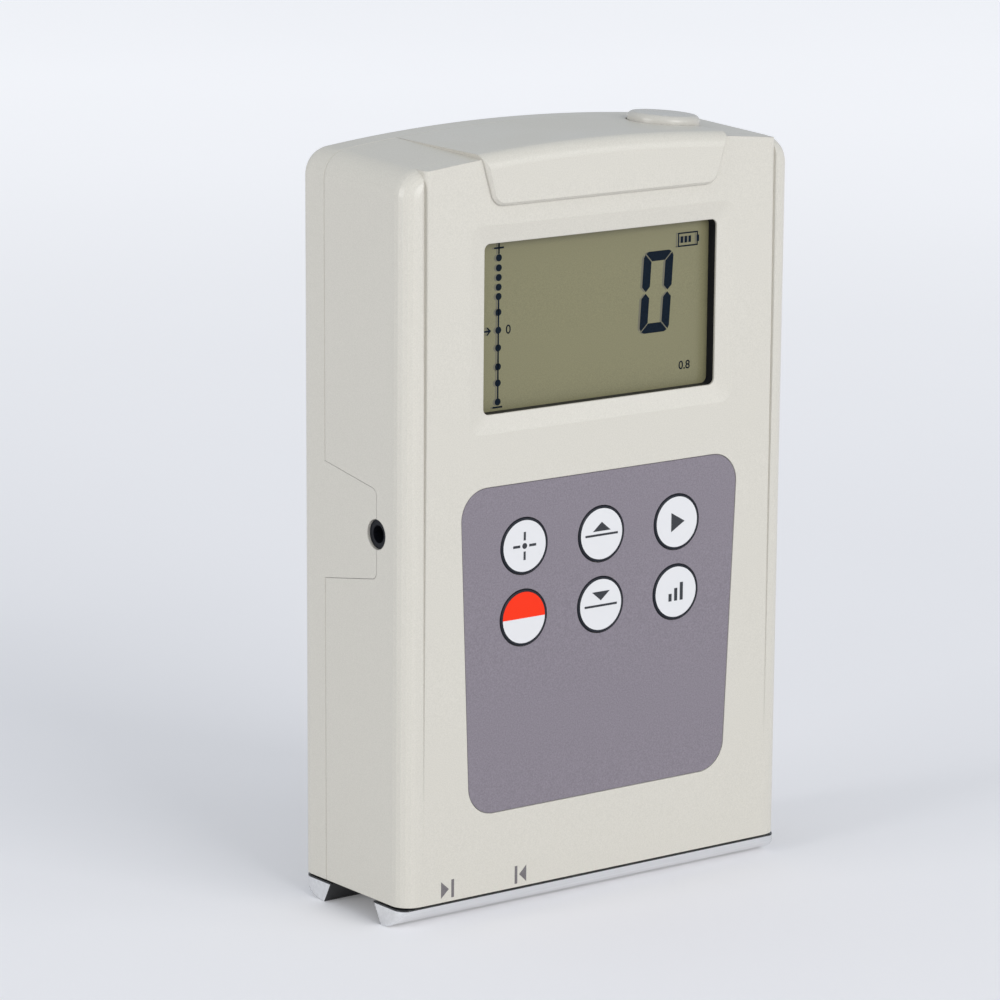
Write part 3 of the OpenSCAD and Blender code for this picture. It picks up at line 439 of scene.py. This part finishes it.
scale_x = -17.9 * mm
scale_heights = [96.5, 95.0, 93.55, 92.1, 90.7, 88.35, 85.65, 83.0, 80.15, 77.7, 74.85]
dot_radius = 0.54 * mm
scale_line = 0.27 * mm
top_dot = (scale_x, scale_heights[0] * mm)
scale_dot = film_disc("scale_dot", "lcd_panel", *top_dot, dot_radius, corners=20)
segments.append(scale_dot)
for height in scale_heights[1:]:
    segments.append(film_copy(scale_dot, "lcd_panel", top_dot, (scale_x, height * mm)))
line_top, line_foot = scale_heights[4] * mm, scale_heights[-1] * mm
segments.append(
    film_bar("scale_line", "lcd_panel", scale_x, (line_top + line_foot) / 2, scale_line, line_top - line_foot)
)
sign_wide = 1.8 * mm
plus_height, minus_height = 97.98 * mm, 74.05 * mm
minus_x = scale_x - 0.05 * mm
segments.append(film_bar("plus_cross", "lcd_panel", scale_x, plus_height, sign_wide, scale_line))
segments.append(film_bar("plus_stem", "lcd_panel", scale_x, plus_height, scale_line, sign_wide))
segments.append(film_bar("minus_cross", "lcd_panel", minus_x, minus_height, sign_wide, scale_line))
arrow_x, arrow_height, chevron = -19.85 * mm, 85.65 * mm, 0.6 * mm
shaft_x, shaft_wide = arrow_x - 0.1 * mm, 1.3 * mm
segments.append(film_bar("arrow_shaft", "lcd_panel", shaft_x, arrow_height, shaft_wide, scale_line))
chevron_outline = [
    (chevron, 0), (0, chevron), (-scale_line, chevron), (chevron - 1.4 * scale_line, 0),
    (-scale_line, -chevron), (0, -chevron),
]
segments.append(film_shape("arrow_head", "lcd_panel", arrow_x, arrow_height, chevron_outline))

cell_mid = (17.95 * mm, 96.1 * mm)
cell_wide, cell_tall, cell_line = 3.9 * mm, 2.2 * mm, 0.22 * mm
for side in (-1, 1):
    x = cell_mid[0] + side * (cell_wide - cell_line) / 2
    segments.append(film_bar("cell_end", "lcd_panel", x, cell_mid[1], cell_line, cell_tall))
    height = cell_mid[1] + side * (cell_tall - cell_line) / 2
    segments.append(film_bar("cell_edge", "lcd_panel", cell_mid[0], height, cell_wide, cell_line))
pole_x, pole_wide = cell_mid[0] + cell_wide / 2 + 0.1 * mm, 0.3 * mm
level_wide, level_tall, level_pitch = 0.47 * mm, 1.0 * mm, 0.77 * mm
segments.append(film_bar("cell_pole", "lcd_panel", pole_x, cell_mid[1], pole_wide, level_tall))
first_level = (cell_mid[0] - 1.17 * mm, cell_mid[1])
cell_level = film_bar("cell_level", "lcd_panel", *first_level, level_wide, level_tall)
segments.append(cell_level)
for step in (1, 2):
    next_level = (first_level[0] + step * level_pitch, first_level[1])
    segments.append(film_copy(cell_level, "lcd_panel", first_level, next_level))

em_per_figure, figure_swell = 1.42, 0.02 * mm


def film_number(name, digits, x, height, tall):
    bpy.ops.object.text_add(location=on_front_of("lcd_panel", x, height), rotation=face_turn)
    figure = bpy.context.object
    figure.data.body = digits
    figure.data.size = tall * em_per_figure
    figure.data.offset = figure_swell
    figure.data.align_x = "CENTER"
    figure.data.align_y = "CENTER"
    bpy.ops.object.convert(target="MESH")
    return thicken_film(name)


zero_mid, zero_tall = (-16.05 * mm, 85.55 * mm), 1.35 * mm
length_mid, length_tall = (17.65 * mm, 76.65 * mm), 1.3 * mm
figures = [
    film_number("scale_zero", "0", *zero_mid, zero_tall),
    film_number("filter_length", "0.8", *length_mid, length_tall),
]
join_films("display_figures", figures, segment_ink, "housing")
display_segments = join_films("display_segments", segments, segment_ink, "housing")

# Soft shadow of the segments: they lie in front of the reflector, so their shade falls beside them.
# It is the same set of shapes, a little to the left and close on the glass.
shade_ink, *_ = new_finish("segment_shade", (0.112, 0.106, 0.070), roughness=0.5)
shade_grain = surface_grain(shade_ink, size=0.12 * mm)
tint_by(shade_ink, shade_grain, dark=(0.102, 0.097, 0.064), light=(0.122, 0.115, 0.076))
raise_grain(shade_ink, shade_grain, depth=0.001 * mm)
display_segments.select_set(True)
bpy.context.view_layer.objects.active = display_segments
bpy.ops.object.duplicate()
segment_shade = bpy.context.object
shade_aside, shade_deeper = 0.38 * mm, 0.015 * mm
bpy.ops.transform.translate(value=press_axis * shade_deeper - face_across * shade_aside)
bpy.ops.object.transform_apply(location=True, rotation=True, scale=True)
segment_shade.name = "segment_shade"
dress(segment_shade, shade_ink)
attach(segment_shade, "housing")
segment_shade.select_set(False)


# Main board: green glass-fibre board with fine copper runs under the solder resist.
# Six steel snap domes sit on it under the keys, and four screws hold it to its posts.
board_green, board_nodes, board_links, _ = new_finish(
    "green_circuit_board", (0.015, 0.10, 0.05), roughness=0.3
)
run_place = board_nodes.new("ShaderNodeTexCoord")
copper_runs = board_nodes.new("ShaderNodeTexBrick")
run_size = 8 * mm
copper_runs.inputs["Scale"].default_value = 1 / run_size
copper_runs.inputs["Color1"].default_value = (0.012, 0.085, 0.042, 1)
copper_runs.inputs["Color2"].default_value = (0.014, 0.095, 0.048, 1)
copper_runs.inputs["Mortar"].default_value = (0.035, 0.17, 0.08, 1)
copper_runs.inputs["Mortar Size"].default_value = 0.015
turn_up = board_nodes.new("ShaderNodeMapping")
turn_up.inputs["Rotation"].default_value = (math.pi / 2, 0, 0)
board_links.new(run_place.outputs["Object"], turn_up.inputs["Vector"])
board_links.new(turn_up.outputs["Vector"], copper_runs.inputs["Vector"])
board_links.new(copper_runs.outputs["Color"], board_nodes["Principled BSDF"].inputs["Base Color"])
raise_grain(board_green, copper_runs.outputs["Fac"], depth=0.02 * mm)
dress(cad["main_board"], board_green)

plated_steel, *_ = new_finish("plated_steel", (0.60, 0.61, 0.63), roughness=0.26, metallic=1.0)
plating = surface_grain(plated_steel, size=0.3 * mm)
tint_by(plated_steel, plating, dark=(0.53, 0.54, 0.56), light=(0.67, 0.68, 0.70))
raise_grain(plated_steel, plating, depth=0.003 * mm, edge=0.08 * mm)
for name in ("key_domes", "cover_screws", "base_screws", "board_screws", "bracket_screws"):
    dress(cad[name], plated_steel)


# Charging socket: a black moulded barrel socket whose collar fills the hole in the left side.
# Battery pack: flat cells in plain blue shrink film, held in a fence on the rear cover.
dress(cad["charging_socket"], satin_black)
shrink_film, *_ = new_finish("blue_shrink_film", (0.03, 0.11, 0.28), roughness=0.25)
film_waves = surface_grain(shrink_film, size=6 * mm)
tint_by(shrink_film, film_waves, dark=(0.025, 0.095, 0.25), light=(0.04, 0.13, 0.32))
raise_grain(shrink_film, film_waves, depth=0.1 * mm)
dress(cad["battery_pack"], shrink_film)


# Key panel: a thin mauve grey film with a fine grain, let into a shallow recess of the front.
# Six satin white keys come through it, each with a printed black ring; the power key is half red.
key_film, *_ = new_finish("mauve_key_film", (0.205, 0.182, 0.211), roughness=0.5)
film_sparkle = surface_grain(key_film, size=0.22 * mm, detail=2.0)
tint_by(key_film, film_sparkle, dark=(0.167, 0.146, 0.171), light=(0.224, 0.198, 0.229))
raise_grain(key_film, film_sparkle, depth=0.01 * mm)
dress(cad["keypad_overlay"], key_film)

ring_wide = 0.41 * mm
ring_black = (0.010, 0.012, 0.018)
key_white = (0.68, 0.675, 0.68)
power_red = (0.84, 0.028, 0.002)
half_line = -0.1 * mm
flange = 0.6 * mm


def key_finish(name, node, upper):
    low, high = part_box(node)
    radius = (high.x - low.x) / 2 - flange
    finish, nodes, links, shader = new_finish(name, key_white, roughness=0.36)
    shader.inputs["Specular IOR Level"].default_value = 0.2
    place = nodes.new("ShaderNodeTexCoord")
    centred = nodes.new("ShaderNodeVectorMath")
    centred.operation = "SUBTRACT"
    centred.inputs[1].default_value = (low + high) / 2
    flat = nodes.new("ShaderNodeVectorMath")
    flat.operation = "MULTIPLY"
    flat.inputs[1].default_value = (1, 0, 1)
    reach = nodes.new("ShaderNodeVectorMath")
    reach.operation = "LENGTH"
    links.new(place.outputs["Object"], centred.inputs[0])
    links.new(centred.outputs["Vector"], flat.inputs[0])
    links.new(flat.outputs["Vector"], reach.inputs[0])
    ring = nodes.new("ShaderNodeMath")
    ring.operation = "GREATER_THAN"
    ring.inputs[1].default_value = radius - ring_wide
    links.new(reach.outputs["Value"], ring.inputs[0])
    halves = nodes.new("ShaderNodeSeparateXYZ")
    links.new(flat.outputs["Vector"], halves.inputs["Vector"])
    above = nodes.new("ShaderNodeMath")
    above.operation = "GREATER_THAN"
    above.inputs[1].default_value = half_line
    links.new(halves.outputs["Z"], above.inputs[0])
    face = nodes.new("ShaderNodeMix")
    face.data_type = "RGBA"
    face.inputs["A"].default_value = (*key_white, 1)
    face.inputs["B"].default_value = (*upper, 1)
    links.new(above.outputs["Value"], face.inputs["Factor"])
    printed = nodes.new("ShaderNodeMix")
    printed.data_type = "RGBA"
    printed.inputs["B"].default_value = (*ring_black, 1)
    links.new(ring.outputs["Value"], printed.inputs["Factor"])
    links.new(face.outputs["Result"], printed.inputs["A"])
    links.new(printed.outputs["Result"], shader.inputs["Base Color"])
    satin = surface_grain(finish, size=0.3 * mm)
    raise_grain(finish, satin, depth=0.004 * mm, edge=0.1 * mm)
    return finish


def key_centre(node):
    low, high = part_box(node)
    return (low.x + high.x) / 2, (low.z + high.z) / 2 - foot_z


sign_black, *_ = new_finish("black_key_print", (0.012, 0.014, 0.020), roughness=0.45)
print_grain = surface_grain(sign_black, size=0.2 * mm)
tint_by(sign_black, print_grain, dark=(0.009, 0.011, 0.016), light=(0.016, 0.018, 0.025))
raise_grain(sign_black, print_grain, depth=0.002 * mm)
for node in ("key_cal", "key_up", "key_start", "key_power", "key_down", "key_cutoff"):
    upper = power_red if node == "key_power" else key_white
    dress(cad[node], key_finish(node + "_print", node, upper))

arrow_wide, arrow_tall = 3.4 * mm, 1.4 * mm
line_wide, line_thick, line_drop = 6.2 * mm, 0.34 * mm, 0.14 * mm
for node, points, arrow_up in (("key_up", "up", 1.15 * mm), ("key_down", "down", 1.35 * mm)):
    x, height = key_centre(node)
    key_sign = [
        film_triangle(node + "_arrow", node, x, height + arrow_up, arrow_wide, arrow_tall, points),
        film_bar(node + "_line", node, x, height - line_drop, line_wide, line_thick),
    ]
    join_films(node + "_sign", key_sign, sign_black, node)
start_x, start_height = key_centre("key_start")
start_wide, start_tall, start_aside = 2.6 * mm, 3.0 * mm, 0.2 * mm
start_sign = [
    film_triangle(
        "run_arrow", "key_start", start_x + start_aside, start_height, start_wide, start_tall, "right"
    ),
]
join_films("key_start_sign", start_sign, sign_black, "key_start")
x, height = key_centre("key_cal")
aim_dot, aim_reach, aim_long, aim_thick = 0.45 * mm, 1.5 * mm, 1.3 * mm, 0.4 * mm
cal_sign = [film_disc("cal_dot", "key_cal", x, height, aim_dot)]
for side in (-1, 1):
    cal_sign.append(film_bar("cal_cross", "key_cal", x + side * aim_reach, height, aim_long, aim_thick))
    cal_sign.append(film_bar("cal_stem", "key_cal", x, height + side * aim_reach, aim_thick, aim_long))
join_films("key_cal_sign", cal_sign, sign_black, "key_cal")
x, height = key_centre("key_cutoff")
cutoff_sign = []
rise_pitch, rise_wide, rise_foot = 1.1 * mm, 0.6 * mm, height - 1.4 * mm
for step, tall in ((-1, 1.2 * mm), (0, 2.0 * mm), (1, 2.8 * mm)):
    rise_x, rise_mid = x + step * rise_pitch, rise_foot + tall / 2
    cutoff_sign.append(film_bar("cutoff_bar", "key_cutoff", rise_x, rise_mid, rise_wide, tall))
join_films("key_cutoff_sign", cutoff_sign, sign_black, "key_cutoff")


# Studio: a wide pale floor with soft light from the front, and a long lens at the height of the table.
# The paper grows whiter towards the back, as a lit sweep does, and keeps the soft shadow of the tester.
floor_half = 4.0
bpy.ops.mesh.primitive_plane_add(size=2 * floor_half, location=(0, 0, 0))
floor = bpy.context.object
floor.name = "studio_floor"
floor.select_set(False)
floor_finish, floor_nodes, floor_links, floor_shader = new_finish(
    "pale_studio_paper", (0.785, 0.775, 0.79), roughness=0.7
)
floor_shader.inputs["Specular IOR Level"].default_value = 0.2
paper_grain = surface_grain(floor_finish, size=0.3)
tint_by(floor_finish, paper_grain, dark=(0.775, 0.765, 0.78), light=(0.795, 0.785, 0.80))
floor_place = floor_nodes.new("ShaderNodeTexCoord")
depth = floor_nodes.new("ShaderNodeVectorMath")
depth.operation = "DOT_PRODUCT"
away_from_camera = (0.600, 0.800, 0)
depth.inputs[1].default_value = away_from_camera
floor_links.new(floor_place.outputs["Object"], depth.inputs[0])
whiter = floor_nodes.new("ShaderNodeMapRange")
whiter.interpolation_type = "SMOOTHSTEP"
sweep_near, sweep_far = -0.15, 1.1
white_near, white_far = 0.085, 0.40
whiter.inputs["From Min"].default_value = sweep_near
whiter.inputs["From Max"].default_value = sweep_far
whiter.inputs["To Min"].default_value = white_near
whiter.inputs["To Max"].default_value = white_far
floor_links.new(depth.outputs["Value"], whiter.inputs["Value"])
seen = floor_nodes.new("ShaderNodeLightPath")
mirrored = floor_nodes.new("ShaderNodeMath")
mirrored.operation = "MAXIMUM"
floor_links.new(seen.outputs["Is Glossy Ray"], mirrored.inputs[0])
floor_links.new(seen.outputs["Is Transmission Ray"], mirrored.inputs[1])
any_sight = floor_nodes.new("ShaderNodeMath")
any_sight.operation = "MAXIMUM"
floor_links.new(seen.outputs["Is Camera Ray"], any_sight.inputs[0])
floor_links.new(mirrored.outputs["Value"], any_sight.inputs[1])
only_seen = floor_nodes.new("ShaderNodeMath")
only_seen.operation = "MULTIPLY"
floor_links.new(whiter.outputs["Result"], only_seen.inputs[0])
floor_links.new(any_sight.outputs["Value"], only_seen.inputs[1])
floor_shader.inputs["Emission Color"].default_value = (1.0, 0.995, 0.99, 1)
floor_links.new(only_seen.outputs["Value"], floor_shader.inputs["Emission Strength"])
dress(floor, floor_finish)

world = bpy.data.worlds.new("studio_air")
bpy.context.scene.world = world
world.use_nodes = True
air = world.node_tree.nodes["Background"]
air.inputs["Color"].default_value = (0.86, 0.92, 1.0, 1)
air.inputs["Strength"].default_value = 0.60


def soft_lamp(name, place, size, power, aim=(0, 0, 0.06)):
    lamp = bpy.data.lights.new(name, "AREA")
    lamp.shape = "RECTANGLE"
    lamp.size, lamp.size_y = size
    lamp.energy = power
    holder = bpy.data.objects.new(name, lamp)
    bpy.context.scene.collection.objects.link(holder)
    holder.location = place
    holder.rotation_euler = (Vector(aim) - Vector(place)).to_track_quat("-Z", "Y").to_euler()


soft_lamp("front_softbox", place=(0.1, -1.45, 0.6), size=(1.0, 0.9), power=13.0)
soft_lamp("left_softbox", place=(-1.45, 0.0, 0.5), size=(0.7, 0.8), power=8.8)
soft_lamp("right_softbox", place=(0.98, -1.12, 0.42), size=(0.5, 0.7), power=2.4)

yaw, pitch, roll = (math.radians(angle) for angle in (36.881, 11.985, 0.2536))
camera_data = bpy.data.cameras.new("photo_camera")
camera_data.lens = 169.73
camera_data.sensor_width = 36
camera_data.clip_start = 0.01
camera = bpy.data.objects.new("photo_camera", camera_data)
bpy.context.scene.collection.objects.link(camera)
aim_side = Matrix.Rotation(-yaw, 4, "Z")
aim_down = Matrix.Rotation(math.pi / 2 - pitch, 4, "X")
turn = aim_side @ aim_down @ Matrix.Rotation(roll, 4, "Z")
camera_place = (-0.430096, -0.560697, 0.209489)
camera.matrix_world = Matrix.Translation(camera_place) @ turn
bpy.context.scene.camera = camera
bpy.context.scene.view_settings.view_transform = "Standard"
